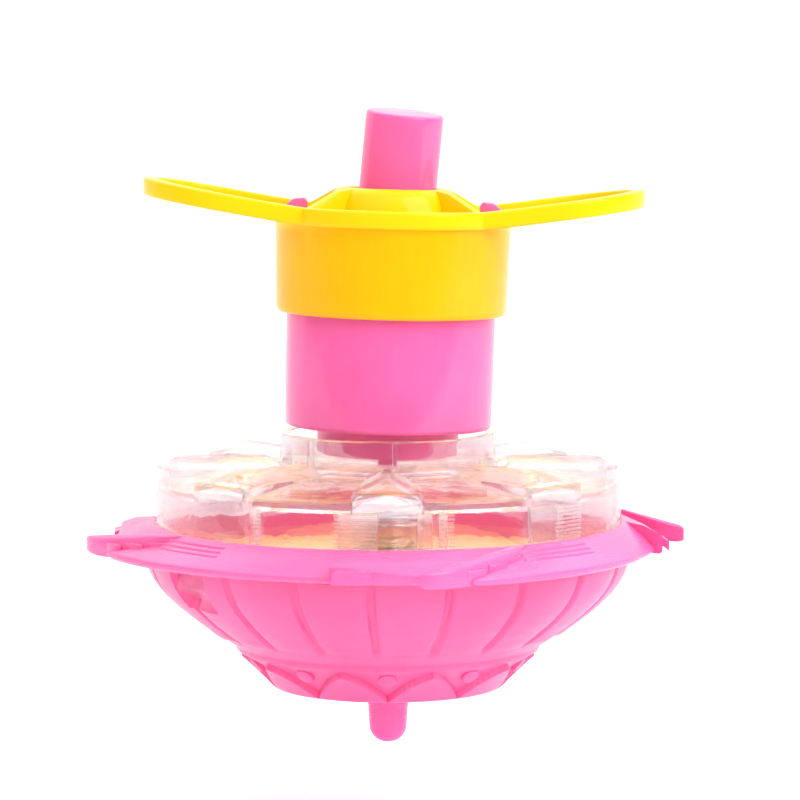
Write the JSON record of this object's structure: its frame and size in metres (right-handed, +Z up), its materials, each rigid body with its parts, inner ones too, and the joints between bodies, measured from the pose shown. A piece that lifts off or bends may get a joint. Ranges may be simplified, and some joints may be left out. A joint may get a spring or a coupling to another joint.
{
  "type": "light up spinning top with wind-up launcher",
  "caption": "Battery-lit spinning top with a clear gem-cut cover, held by its wind-up hand launcher with two finger loops and a release button.",
  "frame": {"origin": "middle of the small flat at the lower end of the top's peg, where it meets the table", "axes": "+Z up along the top's own axis, +X towards the right finger loop, -Y towards the viewer"},
  "size_m": [0.0998, 0.0998, 0.1055],
  "materials": {
    "yellow_plastic": "warm yellow injection moulded plastic, glossy",
    "pink_plastic": "warm pink injection moulded plastic, glossy",
    "magenta_plastic": "cooler pink injection moulded plastic, satin",
    "clear_plastic": "clear polystyrene",
    "holographic_foil": "metallised film with a rainbow sheen",
    "spring_steel": "bare steel",
    "plain_steel": "zinc plated steel",
    "cell_steel": "polished steel can",
    "white_plastic": "natural white acetal",
    "board_laminate": "green lacquered laminate",
    "black_resin": "black epoxy",
    "red_lens": "red tinted epoxy lens",
    "green_lens": "green tinted epoxy lens",
    "blue_lens": "blue tinted epoxy lens",
    "brass": "plain brass"
  },
  "bodies": {
    "launcher": {"handle_cap": "yellow_plastic", "launcher_barrel": "pink_plastic", "mainspring": "spring_steel", "spring_cover": "white_plastic", "mechanism_plate": "white_plastic", "lever_pin": "spring_steel", "lever_spring": "spring_steel"},
    "button": {"release_button": "pink_plastic", "button_spring": "spring_steel"},
    "lever": {"release_lever": "white_plastic"},
    "spindle": {"drive_spindle": "pink_plastic", "ratchet_wheel": "white_plastic", "spindle_clip": "spring_steel"},
    "top": {"clear_cover": "clear_plastic", "blade_ring": "magenta_plastic", "bowl_shell": "pink_plastic", "spin_tip": "pink_plastic", "foil_disc": "holographic_foil", "circuit_board": "board_laminate", "board_screw_1": "spring_steel", "board_screw_2": "spring_steel", "board_screw_3": "spring_steel", "led_red": "red_lens", "led_green": "green_lens", "led_blue": "blue_lens", "driver_chip": "black_resin", "cell_lower": "cell_steel", "cell_middle": "cell_steel", "cell_upper": "cell_steel", "battery_holder": "white_plastic", "contact_bottom": "spring_steel", "contact_top": "spring_steel", "switch_post": "spring_steel", "switch_spring": "spring_steel", "weight_ring": "plain_steel"},
    "switch": {"switch_weight": "brass"}
  },
  "joints": [
    {"name": "button_press", "type": "slide", "parent": "launcher", "child": "button", "axis": [-0.0973, 0.0767, -0.9923], "range_m": [0, 0.0028], "stiffness_N_per_m": 350, "springref_m": -0.004, "deforming": ["button_spring"]},
    {"name": "lever_turn", "type": "hinge", "parent": "launcher", "child": "lever", "pos_m": [0.01101, 0.00955, 0.08152], "axis": [0.6818, -0.7314, -0.0179], "range_deg": [0, 25.2]},
    {"name": "spindle_spin", "type": "hinge", "parent": "launcher", "child": "spindle", "pos_m": [0, 0, 0.0524], "axis": [0.0262, 0, 0.9997], "continuous": true},
    {"name": "top_release", "type": "slide", "parent": "spindle", "child": "top", "axis": [0, 0, -1], "range_m": [0, 0.015]},
    {"name": "switch_swing", "type": "slide", "parent": "top", "child": "switch", "axis": [-1, 0, 0], "range_m": [0, 0.0018], "stiffness_N_per_m": 40}
  ],
  "couplings": [
    {"joint": "lever_turn", "follows": "button_press", "rad_per_m": 154}
  ]
}
